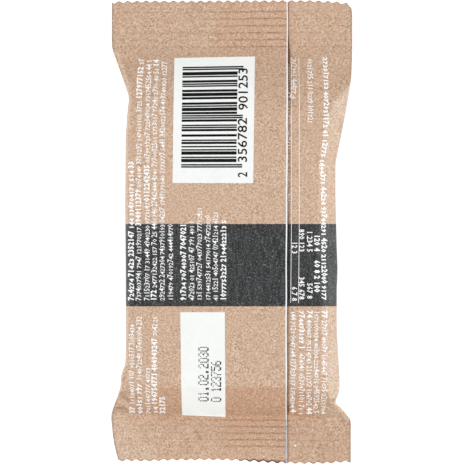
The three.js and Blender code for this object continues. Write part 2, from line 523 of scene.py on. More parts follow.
# Lays the back and the front of a sheet side by side, by the lengths along them
def layOutMap(sheet, column, row, isBack, backAlong, frontAlong):
    sheet.data.uv_layers.new(name="OFBake")
    corners = np.zeros(len(sheet.data.loops), dtype=int)
    sheet.data.loops.foreach_get("vertex_index", corners)
    rowHere, columnHere, back = row[corners], column[corners], isBack[corners]

    def ofFace(test):
        return np.repeat(test, 4)

    allBack = ofFace(back.reshape(-1, 4).all(1))
    allFront = ofFace((~back).reshape(-1, 4).all(1))
    endWall = ofFace(np.ptp(rowHere.reshape(-1, 4), 1) == 0)
    sideWall = ~allBack & ~allFront & ~endWall
    v = sheetMap["low"] + sheetMap["tall"] * (rows[rowHere] - rows[0]) / (rows[-1] - rows[0])
    onBack = sheetMap["back"] + sheetMap["width"] * backAlong[columnHere]
    onFront = sheetMap["front"] + sheetMap["width"] * frontAlong[columnHere]
    u = np.where(allBack | endWall, onBack, onFront)
    v = np.where(endWall & (rowHere == row.max()), np.where(back, *sheetMap["highEnd"]), v)
    v = np.where(endWall & (rowHere == 0), np.where(back, *sheetMap["lowEnd"]), v)
    u = np.where(sideWall & (columnHere == 0), np.where(back, *sheetMap["leftWall"]), u)
    u = np.where(sideWall & (columnHere == column.max()), np.where(back, *sheetMap["rightWall"]), u)
    sheet.data.uv_layers["OFBake"].data.foreach_set("uv", np.stack([u, v], 1).ravel())


def lengthAlong(x, z):
    steps = np.hypot(np.diff(x), np.diff(z))
    total = np.concatenate([[0], np.cumsum(steps)])
    return total / total[-1]


# Both seals wander a little: height and length of each long wave, and height and speed along x
# and y of the short ones
topWander = (0.1, 11)
bottomWander = (0.08, 7)
shortWander = [(0.05, 0.9, 2.1), (0.035, 2.1, -1.3)]
wanderFades = {"intoBar": 3, "toCut": 2}      # over these lengths


# Where a row of the mesh lies
def alongPack(x, y):
    root, end = pack["sealRoot"], pack["halfLength"]
    top = topWander[0] * np.sin(x / topWander[1])
    bottom = crimp["tilt"] * x + bottomWander[0] * np.sin(x / bottomWander[1])
    wander = np.where(y > 0, top, bottom)
    for height, speedX, speedY in shortWander:
        wander += height * np.sin(x * speedX + y * speedY)
    wander *= smooth(ramp(np.abs(y), root - wanderFades["intoBar"], root))
    return toKnife(x, y) + wander * ramp(np.abs(y), end, end - wanderFades["toCut"])


# Colours that multiply the film's own, painted shade and painted highlights among them
tints = {
    # Painted shade in the crimp grooves, the creases, the pressed ring and along the cuts
    "lineShade": (0.62, 0.47, 0.38),       # in the crimping and along the cuts
    # Painted shade on the side walls, along the pack's outline
    "edge": (0.72, 0.77, 0.82),       # on the pack's side walls
    "warm": (0.98, 0.86, 0.78),       # on the slopes and the seals' four layers
    "dull": (0.9, 0.87, 0.85),        # on the seals and the top slope
    # Painted sheen and highlight on the bent corner and the right bevel
    "paintedSheen": (1.08, 1.17, 1.24),       # on the bent corner and the bevels
    "lit": (1.45, 1.55, 1.6),         # on the ridges of creases
    "paintedShadow": (0.16, 0.11, 0.10),      # shadow between the layers at the cut and beside the fin
}
# Patches of tint: how much, and the zones along x and y that it lies in
patches = {
    "warm": [
        (0.85, (-29, -20, 22, 26), (-53, -50, -42.8, -41.8)),     # bottom slope
        (0.3, (17.5, 2.6), (44, 8)),                              # painted shade in the dent beside the fin
    ],
    "dull": [
        (0.4, everywhere, (46.7, 50.7, 79, 80)),                  # top seal
        (0.4, everywhere, (-80, -79, -50.7, -46.7)),              # bottom seal
        (-0.5, everywhere, (51.5, 3.2)),                          # and less at the top seal's root
        (0.6, (-26, -14, 14, 26), (-54, 3.5)),                    # and more in the bottom seal
        (0.4, (10, 18, 79, 80), (-80, -79, -51, -49)),
        (0.07, everywhere, (44, 9)),                              # top slope
        (0.28, (-80, -79, 14, 16), (44, 9)),
        (0.35, everywhere, (18, 34, 50, 52)),                     # bar, towards the top
    ],
    "lit": [
        (0.35, (24, 29, 79, 80), (-51.2, -50.4, -47, -45.5)),     # lower right corner
    ],
    # painted sheen on the right bevel
    "bevel": [
        (0.25, everywhere, everywhere),
        (0.85, everywhere, (34, 7)),                              # palest near the top
        (0.65, everywhere, (-48, -45, -32, -25)),                 # and towards the bottom
    ],
}
# Painted shade and painted highlights: in the grooves, along the cuts, on the side walls, on the bent
# corner, the right bevel and the left rim, beside the fin and under the cut, with the warmer four-layer
# seal
shadingPaint = {
    "groove": 0.27, "finGroove": 1.0,
    "patchy": 0.3, "turns": [(1.9, 3), (0.7, -1)],        # how uneven, and waves along x and y
    "sealTint": 4,                        # the layers' tint comes in over this length
    "darkestGrooves": (-3, 6, 0.45),         # the grooves' painted shade is darkest past here, and less by this share before
    "cut": (0.5, 0.25),                   # share and reach
    "side": (0.7, 0.2),                   # the painted shade on the side walls comes in between these
    "finSeal": 0.3,
    "bentCorner": 0.7, "bentFrom": (-1, 2), "bentBelow": -40,
    "bevelFrom": (-0.2, 1.2), "bevelTo": 49,
    "leftRim": 0.6, "rimFrom": (1.7, 1.0), "rimZone": (37, 40, 48, 50.5),
    "slack": 0.1, "slackZone": (15.52, 0.4), "slackFrom": (40, 47),
    "shadowUnderCut": (0, 4, 13.0, 14.4), "shadowUnderCutFrom": (0.6, 0.25),
    "most": 1.2,
}


def patchTint(name, x, y):
    return sum(share * zone(x, zoneX) * zone(y, zoneY) for share, zoneX, zoneY in patches[name])


# How much of each tint lies at each point
def tintShares(x, y):
    inSeal = ramp(np.abs(y), pack["sealRoot"] - shadingPaint["sealTint"], pack["sealRoot"])
    left, right = x + sideReach(leftSide, y), sideReach(rightSide, y) - x
    toCut = pack["halfLength"] - np.abs(y)
    turns = [np.sin(x * turnX + y * turnY) for turnX, turnY in shadingPaint["turns"]]
    patchy = 1 - shadingPaint["patchy"] * (1 - turns[0] * turns[1])
    darkFrom, darkTo, better = shadingPaint["darkestGrooves"]
    layers = zone(x, fin["layers"])
    darkestShare = layers * mix(1 - better, 1, ramp(x, darkFrom, darkTo))
    # painted shade in the grooves, along the cuts and in the pressed ring
    lineShade = grooves(y) * mix(shadingPaint["groove"], shadingPaint["finGroove"], darkestShare) * patchy
    lineShade += shadingPaint["cut"][0] * bell(toCut, shadingPaint["cut"][1]) + pressedRing["shade"] * onRing(x, y)
    # where the painted sheen lies, on the right bevel and the bent corner
    onBevel = ramp(x - sideReach(rightRidge, y), *shadingPaint["bevelFrom"]) * (np.abs(y) < shadingPaint["bevelTo"])
    bent = ramp(pastBend(x, y), *shadingPaint["bentFrom"]) * (y < shadingPaint["bentBelow"])
    lit = shadingPaint["leftRim"] * ramp(left, *shadingPaint["rimFrom"]) * zone(y, shadingPaint["rimZone"]) + patchTint("lit", x, y)
    for ends, _, width, shade in creases:
        shade = shade * bell(fromCrease(ends, x, y), width)
        lineShade += np.clip(shade, 0, None)
        lit += np.clip(-shade, 0, None)
    # painted shadow beside the fin's edge, in its crevice and under the cut
    shadow = finPath("shadow", y) * zone(x - finPath("wander", y), fin["shadowZone"])
    slack = shadingPaint["slack"] * zone(x, shadingPaint["slackZone"]) * slackAt(y) * ramp(y, *shadingPaint["slackFrom"])
    underCut = zone(x, shadingPaint["shadowUnderCut"]) * (y < 0) * ramp(toCut, *shadingPaint["shadowUnderCutFrom"])
    return {
        "lineShade": lineShade,
        # painted shade on the side walls
        "edge": ramp(np.minimum(left, right), *shadingPaint["side"]),
        "warm": shadingPaint["finSeal"] * layers * inSeal + patchTint("warm", x, y),
        "dull": patchTint("dull", x, y),
        "paintedSheen": shadingPaint["bentCorner"] * bent + onBevel * patchTint("bevel", x, y),
        "lit": lit,
        "paintedShadow": shadow + slack + underCut,
    }


# The front of a sheet only gets the painted shade in grooves, creases and along the cuts, and the painted
# shade on the pack's side walls
def tintAt(x, y, isBack=True):
    colour = np.ones((len(x), 3))
    for name, share in tintShares(x, y).items():
        if name not in ("lineShade", "edge"):
            share = share * isBack
        colour *= 1 + (np.array(tints[name]) - 1) * np.clip(share, 0, shadingPaint["most"])[:, None]
    return colour


# Stores the tints, painted shade and painted highlights among them, on the points
def setTint(sheet, colour):
    attribute = sheet.data.attributes.new("tint", "FLOAT_COLOR", "POINT")
    opaque = np.ones((len(colour), 1))
    attribute.data.foreach_set("color", np.concatenate([colour, opaque], 1).ravel())


filmMesh = {
    "wall": 8, "bevel": 14, "left": 94, "edge": 9, "right": 15,       # columns
    "wallReach": 0.9, "narrowest": 1,     # of the side walls and the bevels
    "edgeFrom": -0.3, "edgeTo": 1.2,      # close columns, from the fin's edge
}


# Columns across the film at one row: close at the sides, along the ridges and beside the fin
def filmColumns(y):
    sides = []
    for side, ridge in ((leftSide, leftRidge), (rightSide, rightRidge)):
        reach = sideReach(side, y)
        outer = reach - filmMesh["wallReach"]
        inner = min(sideReach(ridge, y), outer - filmMesh["narrowest"])
        curl = 1 - np.cos(np.linspace(0, math.pi / 2, filmMesh["wall"] + 1)[:-1])
        wall = reach - filmMesh["wallReach"] * curl
        bevel = np.linspace(outer, inner, filmMesh["bevel"])
        sides.append(np.concatenate([wall, bevel]))
    leftPart, rightPart = -sides[0], sides[1][::-1]
    nearEdge = [fin["edge"] + filmMesh["edgeFrom"], fin["edge"] + filmMesh["edgeTo"]]
    stops = [leftPart[-1], *nearEdge, rightPart[0]]
    middle = spread(stops, [filmMesh[k] for k in ("left", "edge", "right")])
    return np.concatenate([leftPart[:-1], middle, rightPart[1:]])


def makeFilm():
    columns = np.array([filmColumns(y) for y in rows])
    sheet, column, row, isBack = thinSheet("film", columns.shape[1])
    x = columns[row, column]
    back, front = skin(x, rows[row])
    atSide = (column == 0) | (column == column.max())
    half = np.where(atSide, pack["layer"] / 2, 0)
    z = np.where(isBack, back + half, front - half)
    movePoints(sheet, np.stack([x, alongPack(x, rows[row]), z], 1) * mm)
    setTint(sheet, tintAt(x, rows[row], isBack))
    middleX = filmColumns(0.0)
    middleBack, middleFront = skin(middleX, np.zeros_like(middleX))
    backAlong, frontAlong = lengthAlong(middleX, middleBack), lengthAlong(middleX, middleFront)
    layOutMap(sheet, column, row, isBack, backAlong, frontAlong)
    return sheet


finMesh = {
    "rise": 16, "flat": 44,       # columns
    "lip": (0, 0.5, 1),           # its three columns, as shares of its width
    "nearEdge": 0.02,             # a column just inside the edge
    "clear": 0.6,                 # the flap keeps this clear of the crevice
    "unshaded": 1,                # and its colour this far out of the shadow
}


# The flap's top film stops at the edge, and the lower one reaches a little further
def makeFin():
    start = fin["fold"] - fin["blend"]
    stops = [start, fin["fold"], fin["edge"] - finMesh["nearEdge"]]
    places = spread(stops, [finMesh["rise"], finMesh["flat"]])
    places = np.concatenate([places, fin["edge"] + fin["lip"] * np.array(finMesh["lip"])])
    sheet, column, row, isBack = thinSheet("fin_seal", len(places))
    x, y = places[column], rows[row]
    waver = fin["waver"]["height"] * np.sin(y / fin["waver"]["length"] + fin["waver"]["start"])
    edgeWander = finPath("wander", y) + waver
    pastEdge = (x - fin["edge"]) * finPath("lipShown", y)
    x = np.where(x > fin["edge"], fin["edge"] + pastEdge, x)
    x = x + edgeWander * ramp(x, fin["fold"], fin["edge"])
    inner = np.minimum(x, fin["edge"] - finMesh["clear"])
    top = skin(inner, y)[0] + flapLift(np.minimum(x, fin["edge"]), y)
    topDrop = np.where(column >= len(places) - len(finMesh["lip"]), pack["layer"], 0)
    z = np.where(isBack, top - topDrop, top - 2 * pack["layer"])
    movePoints(sheet, np.stack([x, alongPack(x, y), z], 1) * mm)
    setTint(sheet, tintAt(np.minimum(x, fin["edge"] - finMesh["unshaded"]), y))
    along = (places - places[0]) / (places[-1] - places[0])
    layOutMap(sheet, column, row, isBack, along, along)
    return sheet


sharpAngle = 55       # degrees, where the shading breaks
film = makeFilm()
finSeal = makeFin()
for sheet in (film, finSeal):
    makeActive(sheet)
    bpy.ops.object.shade_smooth_by_angle(angle=math.radians(sharpAngle))
print("film:", len(film.data.polygons), "faces, fin seal:", len(finSeal.data.polygons), "faces")


def newMaterial(name):
    material = bpy.data.materials.new(name)
    material.use_nodes = True
    shader = material.node_tree.nodes["Principled BSDF"]
    return material, shader


# Links each input to a socket, or sets it to a value
def setInputs(material, node, inputs):
    for key, value in inputs.items():
        if isinstance(value, bpy.types.NodeSocket):
            material.node_tree.links.new(value, node.inputs[key])
        else:
            node.inputs[key].default_value = value


def addNode(material, kind, inputs, **properties):
    node = material.node_tree.nodes.new(kind)
    for key, value in properties.items():
        setattr(node, key, value)
    setInputs(material, node, inputs)
    return node


# Object coordinates in millimetres, stretched where a pattern needs it
def millimetres(material, stretch=(1, 1, 1)):
    coordinates = addNode(material, "ShaderNodeTexCoord", {})
    settings = {"Vector": coordinates.outputs["Object"], "Scale": [s / mm for s in stretch]}
    return addNode(material, "ShaderNodeMapping", settings).outputs["Vector"]


def noise(material, vector, scale, detail=2, roughness=0.5):
    settings = {"Vector": vector, "Scale": scale, "Detail": detail, "Roughness": roughness}
    return addNode(material, "ShaderNodeTexNoise", settings).outputs["Fac"]


def remap(material, value, fromMin, fromMax, toMin=0.0, toMax=1.0):
    settings = {"Value": value, "From Min": fromMin, "From Max": fromMax}
    settings.update({"To Min": toMin, "To Max": toMax})
    return addNode(material, "ShaderNodeMapRange", settings).outputs["Result"]


def mixColours(material, factor, a, b, blend="MIX"):
    inputs = {0: factor, 6: a, 7: b}
    node = addNode(material, "ShaderNodeMix", inputs, data_type="RGBA", blend_type=blend)
    return node.outputs[2]


def maths(material, operation, a, b=0.0):
    return addNode(material, "ShaderNodeMath", {0: a, 1: b}, operation=operation).outputs[0]


kraft = {
    "dark": (0.388, 0.221, 0.125, 1),
    "light": (0.75, 0.578, 0.436, 1),
    "pink": (0.60, 0.385, 0.28, 1),
    "speck": (0.90, 0.78, 0.66, 1),
    "warm": (1.015, 0.995, 0.975, 1),
    "cool": (0.985, 1.005, 1.025, 1),
    "grain": 2.0,             # blobs for each millimetre
    "coarseShare": 0.7,       # of the coarse grain, with the fine one on top
    "mottle": (0.32, 0.68),   # the range of the grain that is used
    "band": (0.004, 0.006, 0.007, 1),
    "bandLight": (0.25, 0.253, 0.255, 1),
    "bandFrom": -20.4,
    "bandTo": 2.1,
    "bandBlur": 0.06,
    "streaks": (1.6, 0.22, 1.6),
    "speckPower": 1.6,
    "roughness": (0.48, 0.62),
    "shineGrain": (0.3, 0.7),
    "relief": 0.04,
    "reliefStrength": 0.5,
}


# Patterns of noise: blobs for each millimetre, detail, roughness, the range of the noise that is
# used, and the range that it becomes
patterns = {
    "drift": (0.22, 2, 0.5, 0.35, 0.65, 0, 0.35),
    "hue": (1.3, 2, 0.6, 0.35, 0.65, 0, 1),
    "specks": (3.1, 1, 0.4, 0.72, 0.79, 0, 1),
    "streaks": (1.0, 3, 0.6, 0.38, 0.78, 0, 0.16),
    "bandSpecks": (2.6, 2, 0.7, 0.475, 0.77, 0, 1),
    "bandEdge": (2.0, 2, 0.5, 0.3, 0.7, -0.04, 0.04),
    "lip": (1.5, 2, 0.5, 0.3, 0.7, 0, 1),
}


def pattern(material, place, name):
    scale, detail, roughness, *ranges = patterns[name]
    return remap(material, noise(material, place, scale, detail, roughness), *ranges)


# Brown paper, which was printed on the film, and the charcoal band
def filmOutside():
    material, shader = newMaterial("kraftPrintedFilm")
    place = millimetres(material)
    coarse = noise(material, place, kraft["grain"], 1)
    fine = noise(material, place, kraft["grain"] * 2, 1)
    coarsePart = maths(material, "MULTIPLY", coarse, kraft["coarseShare"])
    finePart = maths(material, "MULTIPLY", fine, 1 - kraft["coarseShare"])
    mottle = remap(material, maths(material, "ADD", coarsePart, finePart), *kraft["mottle"])
    paper = mixColours(material, mottle, kraft["dark"], kraft["light"])
    paper = mixColours(material, pattern(material, place, "drift"), paper, kraft["pink"])
    hue = mixColours(material, pattern(material, place, "hue"), kraft["warm"], kraft["cool"])
    paper = mixColours(material, 1.0, paper, hue, "MULTIPLY")
    paper = mixColours(material, pattern(material, place, "specks"), paper, kraft["speck"])

    streaks = pattern(material, millimetres(material, kraft["streaks"]), "streaks")
    bandSpecks = pattern(material, place, "bandSpecks")
    bandSpecks = maths(material, "POWER", bandSpecks, kraft["speckPower"])
    bandLight = maths(material, "ADD", streaks, bandSpecks)
    band = mixColours(material, bandLight, kraft["band"], kraft["bandLight"])

    axes = addNode(material, "ShaderNodeSeparateXYZ", {"Vector": place})
    along = maths(material, "ADD", axes.outputs["Y"], pattern(material, place, "bandEdge"))
    low, high, blur = kraft["bandFrom"], kraft["bandTo"], kraft["bandBlur"]
    pastLow = remap(material, along, low - blur, low + blur)
    beforeHigh = remap(material, along, high + blur, high - blur)
    printed = mixColours(material, maths(material, "MULTIPLY", pastLow, beforeHigh), paper, band)
    # the tint attribute brings in the painted shade and painted highlights
    tint = addNode(material, "ShaderNodeAttribute", {}, attribute_name="tint").outputs["Color"]
    relief = {"Strength": kraft["reliefStrength"], "Distance": kraft["relief"] * mm, "Height": fine}
    setInputs(material, shader, {
        "Base Color": mixColours(material, 1.0, printed, tint, "MULTIPLY"),
        "Roughness": remap(material, coarse, *kraft["shineGrain"], *kraft["roughness"]),
        "Normal": addNode(material, "ShaderNodeBump", relief).outputs["Normal"],
    })
    return material


# 1 below a place along the pack, and 0 above it
def below(material, place, y, blend):
    axes = addNode(material, "ShaderNodeSeparateXYZ", {"Vector": place})
    return remap(material, axes.outputs["Y"], y + blend, y - blend)


# The film's white inside, which is crushed and greyer in the bottom seal
lip = {
    "white": ((0.93, 0.94, 0.95, 1), (0.97, 0.97, 0.98, 1)),
    "crushed": ((0.36, 0.42, 0.48, 1), (0.66, 0.72, 0.78, 1)),
    "crushedBelow": (-51.5, 0.8),     # place along the pack, and softness
    "roughness": 0.45,
    "startsAt": 0.1,                  # of its width
}


def filmInside():
    material, shader = newMaterial("whiteFilmInside")
    place = millimetres(material)
    tone = pattern(material, place, "lip")
    white, crushed = [mixColours(material, tone, *lip[kind]) for kind in ("white", "crushed")]
    colour = mixColours(material, below(material, place, *lip["crushedBelow"]), white, crushed)
    setInputs(material, shader, {"Base Color": colour, "Roughness": lip["roughness"]})
    return material


# Inks: dark and light tone, blobs for each millimetre, roughness, specular level and stretch
inks = {
    "panelInk": ((0.86, 0.875, 0.86, 1), (0.89, 0.905, 0.89, 1), 0.7, 0.5, 0.25, (1, 1, 1)),
    "whiteInk": ((0.93, 0.93, 0.92, 1), (0.98, 0.98, 0.97, 1), 1.6, 0.5, 0.25, (1, 1, 1)),
    "blackInk": ((0.004, 0.004, 0.005, 1), (0.012, 0.012, 0.011, 1), 1.2, 0.55, 0.12, (0.4, 2, 1)),
    "dateInk": ((0.008, 0.008, 0.008, 1), (0.07, 0.07, 0.07, 1), 2.0, 0.5, 0.25, (1, 1, 1)),
}
inkTone = {"detail": 3, "roughness": 0.6, "range": (0.35, 0.7)}
shineVaries = 0.05
# The panels are whiter on the bottom slope, painted light that offsets the slope's shade, from this place
# and with this softness
whiterSlope = {"colour": (0.935, 0.945, 0.92, 1), "below": (-42.7, 1.2)}


def ink(name):
    dark, light, grain, roughness, shininess, stretch = inks[name]
    material, shader = newMaterial(name)
    place = millimetres(material, stretch)
    tone = noise(material, place, grain, inkTone["detail"], inkTone["roughness"])
    tone = remap(material, tone, *inkTone["range"])
    colour = mixColours(material, tone, dark, light)
    if name == "panelInk":
        # painted light on the bottom slope
        slope = below(material, place, *whiterSlope["below"])
        colour = mixColours(material, slope, colour, whiterSlope["colour"])
    setInputs(material, shader, {
        "Base Color": colour,
        "Roughness": remap(material, tone, 0, 1, roughness - shineVaries, roughness + shineVaries),
        "Specular IOR Level": shininess,
    })
    return material


outside = filmOutside()
panelInk, whiteInk, blackInk, dateInk = [ink(name) for name in inks]

film.data.materials.append(outside)
finSeal.data.materials.append(outside)
finSeal.data.materials.append(filmInside())
for face in finSeal.data.polygons:
    edgeHere = fin["edge"] + finPath("wander", face.center.y / mm)
    if face.center.x > (edgeHere + lip["startsAt"] * fin["lip"]) * mm:
        face.material_index = 1

# A panel's corners: top left, top right, bottom right and bottom left
panels = {
    "code": ((-15.87, 47.62), (6.19, 48.03), (5.7, 13.23), (-16.32, 13.27)),
    "date": ((-14.2, -22.0), (-2.04, -22.0), (-1.86, -50.92), (-13.83, -50.45)),
}
inkHeight = 0.03
inkGap = 0.1          # between the film and the ink, of the ink's height
inkCell = 0.4         # the ink bends with the film at about these steps


# u goes to the right across a panel and v down it
def onPanel(panel, u, v):
    topLeft, topRight, bottomRight, bottomLeft = [np.array(corner) for corner in panels[panel]]
    u, v = np.asarray(u)[..., None], np.asarray(v)[..., None]
    return mix(mix(topLeft, topRight, u), mix(bottomLeft, bottomRight, u), v)


def flatPatch(panel, uRange, vRange):
    topLeft, topRight = [onPanel(panel, u, vRange[0]) for u in uRange]
    bottomLeft = onPanel(panel, uRange[0], vRange[1])
    across, down = [int(np.hypot(*way) / inkCell) for way in (topRight - topLeft, topLeft - bottomLeft)]
    counts = {"x_subdivisions": max(across, 1), "y_subdivisions": max(down, 1)}
    patch = addObject(bpy.ops.mesh.primitive_grid_add, size=1, **counts)
    points = readPoints(patch)
    u, v = mix(*uRange, points[:, 0] + 0.5), mix(*vRange, 0.5 - points[:, 1])
    points[:, :2] = onPanel(panel, u, v) * mm
    movePoints(patch, points)
    return patch


# Drops flat print on the film, and gives it the thickness of ink. Layer 2 lies on layer 1
def printOn(piece, material, layer=1, overFin=True):
    piece.data.materials.clear()
    piece.data.materials.append(material)
    points = readPoints(piece)
    points[:, 2] = 2 * pack["barTop"] * mm
    movePoints(piece, points)
    applyModifier(
        piece, "SHRINKWRAP", target=film, auxiliary_target=finSeal if overFin else None,
        wrap_method="PROJECT", use_project_z=True,
        use_negative_direction=True, use_positive_direction=False,
        offset=(layer - 1 + inkGap) * inkHeight * mm,
    )
    applyModifier(piece, "SOLIDIFY", thickness=inkHeight * mm, offset=1)
    return piece


# Cuts a flat mesh across at these places along one axis, so that it can bend there
def cutAcross(piece, axis, places):
    towards = np.eye(3)[axis]
    for place in places:
        editAll(piece, bpy.ops.mesh.bisect, plane_co=towards * place, plane_no=towards)


def textMesh(text, weight, roundness):
    line = addObject(bpy.ops.object.text_add).data
    line.body = text
    line.offset = weight
    line.resolution_u = roundness
    bpy.ops.object.convert(target="MESH")
    return bpy.context.object


# Plain digits up the pack, between two places, as tall as given across it
def numbers(text, x, yFrom, yTo, height):
    piece = textMesh(text, barCode["weight"], barCode["roundness"])
    points = readPoints(piece)
    low, high = points.min(0), points.max(0)
    along = (points[:, 0] - low[0]) / (high[0] - low[0])
    up = (points[:, 1] - low[1]) / (high[1] - low[1]) - 0.5
    points[:, 1] = mix(yFrom, yTo, along) * mm
    points[:, 0] = (x - up * height) * mm
    movePoints(piece, points)
    cutAcross(piece, 0, np.arange(x - height / 2 + inkCell, x + height / 2, inkCell) * mm)
    cutAcross(piece, 1, np.arange(yFrom + inkCell, yTo, inkCell) * mm)
    return piece


barCode = {
    "from": 0.105, "to": 0.788, "guardTo": 0.860,    # across the panel
    "last": 0.076, "first": 0.877,                   # down it
    "modules": 95, "digits": 6, "halves": (3, 50),   # and where its halves start
    "guards": (0, 2, 46, 48, 92, 94),                # longer bars
    "inkSpread": 0.2,                                # modules, on each side of the thinnest bars
    # numbers beside the bars: middle, start, end and height, all in millimetres
    "numbers": [
        ("2", 2.79, 14.85, 16.25, 2.55), ("356782", 2.76, 19.0, 31.0, 2.55),
        ("901253", 2.96, 33.2, 44.7, 2.6),
    ],
    "weight": 0.008, "roundness": 3,
}
# A space, a bar, a space and a bar, in modules
barWidths = [(2, 2, 2, 1), (2, 1, 2, 2), (3, 2, 1, 1), (1, 1, 3, 2), (1, 3, 1, 2), (2, 3, 1, 1)]


# Made-up bars in two halves, with longer bars at both ends and in the middle
def barPlaces():
    bars = [(guard, guard + 1, True) for guard in barCode["guards"]]
    for barFirst, place in enumerate(barCode["halves"]):
        for _ in range(barCode["digits"]):
            widths = random.choice(barWidths)
            for i, width in enumerate(reversed(widths) if barFirst else widths):
                if i % 2 == 1 - barFirst:
                    bars.append((place, place + width, False))
                place += width
    return bars


def makeBarCode():
    pieces = []
    span = barCode["last"] - barCode["first"]
    for start, stop, isGuard in barPlaces():
        inkSpread = barCode["inkSpread"] / (stop - start)
        edges = (stop + inkSpread, start - inkSpread)
        uRange = (barCode["from"], barCode["guardTo" if isGuard else "to"])
        vRange = [barCode["first"] + span * edge / barCode["modules"] for edge in edges]
        pieces.append(flatPatch("code", uRange, vRange))
    pieces += [numbers(*number) for number in barCode["numbers"]]
    return joinPieces(pieces, "bar_code")


# Dots of the date's digits, row by row from the top
dotDigits = {
    "0": "01110 10001 10001 10001 10001 10001 01110", "1": "00100 01100 00100 00100 00100 00100 01110",
    "2": "01110 10001 00001 00110 01000 10000 11111", "3": "01110 10001 00001 00110 00001 10001 01110",
    "5": "11111 10000 11110 00001 00001 10001 01110", "6": "00110 01000 10000 11110 10001 10001 01110",
    "7": "11111 00001 00010 00100 01000 01000 01000", ".": "00000 00000 00000 00000 00000 01100 01100",
}
dateCode = {
    "dotAlong": 0.25, "dotAcross": 0.41,
    "dotRadius": 0.182, "dotSides": 6,
    "shake": 0.03, "sizes": (0.8, 1.15), "grows": 0.05,      # from dot to dot, and across a row
    "middleDot": 3,
    # digits of each row, its middle, its start and the pitch of its digits
    "rows": [("01.02.2030", -7.87, -46.35, 1.53), ("0 123756", -4.45, -46.5, 1.44)],
}


def dotPlaces():
    places = []
    for text, x, y, pitch in dateCode["rows"]:
        for letter in text:
            for r, dots in enumerate(dotDigits.get(letter, "").split()):
                for c, dot in enumerate(dots):
                    if dot == "1":
                        across = r - dateCode["middleDot"]
                        shake = random.uniform(-dateCode["shake"], dateCode["shake"])
                        size = dateCode["dotRadius"] * random.uniform(*dateCode["sizes"])
                        dotX = x + across * dateCode["dotAcross"] + shake
                        size *= 1 + dateCode["grows"] * across
                        places.append((dotX, y + c * dateCode["dotAlong"], size))
            y += pitch
    return np.array(places)


# Joins copies of a flat shape, one for each row of points
def stampCopies(name, points, shapeFaces):
    copies, corners = points.shape[:2]
    flat = np.concatenate([points.reshape(-1, 2), np.zeros((copies * corners, 1))], 1) * mm
    faces = shapeFaces[None] + np.arange(copies)[:, None, None] * corners
    faces = faces.reshape(-1, shapeFaces.shape[1])
    mesh = bpy.data.meshes.new(name)
    mesh.from_pydata(flat.tolist(), [], faces.tolist())
    piece = bpy.data.objects.new(name, mesh)
    bpy.context.scene.collection.objects.link(piece)
    return piece


# The points and the faces of a mesh, which is then removed
def takeShape(piece):
    points = readPoints(piece)[:, :2]
    faces = np.array([list(face.vertices) for face in piece.data.polygons])
    bpy.data.objects.remove(piece)
    return points, faces


# Round spots, as places and radii
def stampDots(name, sides, places):
    circle = addObject(bpy.ops.mesh.primitive_circle_add, vertices=sides, radius=1, fill_type="NGON")
    dot, dotFaces = takeShape(circle)
    return stampCopies(name, places[:, None, :2] + dot[None] * places[:, None, 2:], dotFaces)


# Small print stands in for the wording: rows of plain digits, in groups like words
smallPrint = {
    "plain": {"pitch": 0.83, "gap": 0.45, "height": 1.21, "weight": 0.003},
    "table": {"pitch": 0.95, "gap": 0.45, "height": 1.25, "weight": 0.018},
    "thin": {"pitch": 0.85, "gap": 0.5, "height": 1.25, "weight": -0.01},
    "bold": {"pitch": 1.0, "gap": 0.5, "height": 1.38, "weight": 0.038},
    "digits": "0011122344457779",
    "wide": 1.12,                            # of the font's own width
    "tall": 1.3,                             # some digits stand taller than the rest
    "tallShare": 0.3,
    "strongShare": 0.1,                      # groups that are bold and tall throughout
    "shortest": 2, "longest": 10,            # digits in a group
    "stop": 0.6,                             # width of a space or a point, of a digit's
    "roundness": 1,
    "cuts": (1 / 3, 2 / 3),                  # where a digit can bend
}

# Rows of small print: style, place across the pack, and start and end in the way that the row
# reads. A row that bends has several places of both kinds
leftRows = [
    ("bold", -27.45, (-18.8, 18.9)), ("plain", (-25.44, -25.35, -24.7), (-18.8, 34.0, 47.5)),
    ("plain", (-23.15, -23.05, -22.55), (-18.8, 34.0, 47.5)),
    ("plain", (-21.2, -21.05, -20.5), (-18.8, 34.0, 47.5)),
    ("plain", (-19.08, -18.9, -18.35), (-18.8, 34.0, 47.5)), ("plain", -16.75, (-18.8, 2.4)),
    ("bold", -13.2, (-18.8, 2.4)), ("plain", -10.96, (-18.8, 2.6)), ("plain", -8.9, (-18.8, 7.3)),
    ("plain", -6.55, (-18.8, 4.3)), ("plain", -4.5, (-18.8, 5.4)), ("bold", -2.25, (-18.8, 3.2)),
    ("bold", -27.3, (-50.0, -47.8)), ("plain", -27.3, (-47.4, -25.4)),
    ("bold", -25.3, (-50.0, -41.4)), ("plain", -25.3, (-40.6, -23.2)),
    ("plain", -23.0, (-50.0, -37.5)), ("bold", -21.0, (-50.0, -47.8)),
    ("plain", -21.0, (-47.4, -23.2)), ("plain", -18.9, (-50.0, -44.4)),
]
rightRows = [
    (
        "bold", (25.4, 25.65, 25.4, 25.1, 24.2, 24.6, 24.9, 25.0),
        (47.8, 40.0, 29.0, 22.5, 18.2, 15.5, 8.0, -18.8),
    ),
    ("plain", (21.2, 21.15), (47.5, 29.3)), ("thin", 16.75, (47.5, 36.5)),
    ("bold", 24.95, (-21.6, -23.8)), ("plain", 24.95, (-24.2, -50.0)),
    ("plain", 22.88, (-21.6, -50.0)), ("plain", 20.85, (-21.6, -50.0)),
    ("bold", 18.8, (-21.6, -32.4)), ("plain", 18.8, (-33.2, -50.0)),
    ("plain", 16.5, (-21.6, -50.0)),
]
